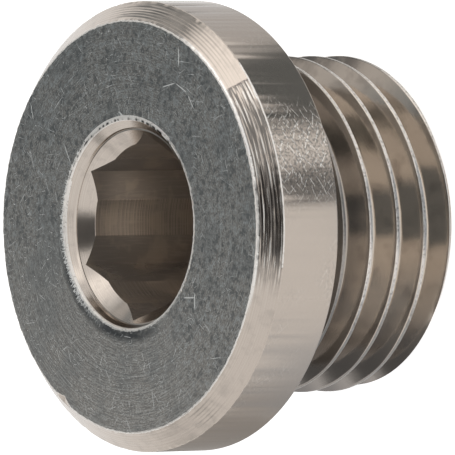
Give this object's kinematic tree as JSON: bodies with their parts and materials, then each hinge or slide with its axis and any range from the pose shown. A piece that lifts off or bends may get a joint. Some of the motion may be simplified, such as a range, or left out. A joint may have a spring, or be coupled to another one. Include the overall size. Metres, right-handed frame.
{
  "type": "hex socket plug",
  "caption": "Screw plug with a round chamfered head, a hex socket and a short parallel pipe thread.",
  "frame": {"origin": "centre of the thread's end face, which the plug stands on", "axes": "+Z along the plug's axis from the thread's end to the head; +X through a corner of the hex socket"},
  "size_m": [0.0175, 0.0174, 0.0115],
  "materials": {
    "nickel_plated": "turned, nickel plated"
  },
  "bodies": {
    "root": {"plug_body": "nickel_plated"}
  },
  "joints": []
}
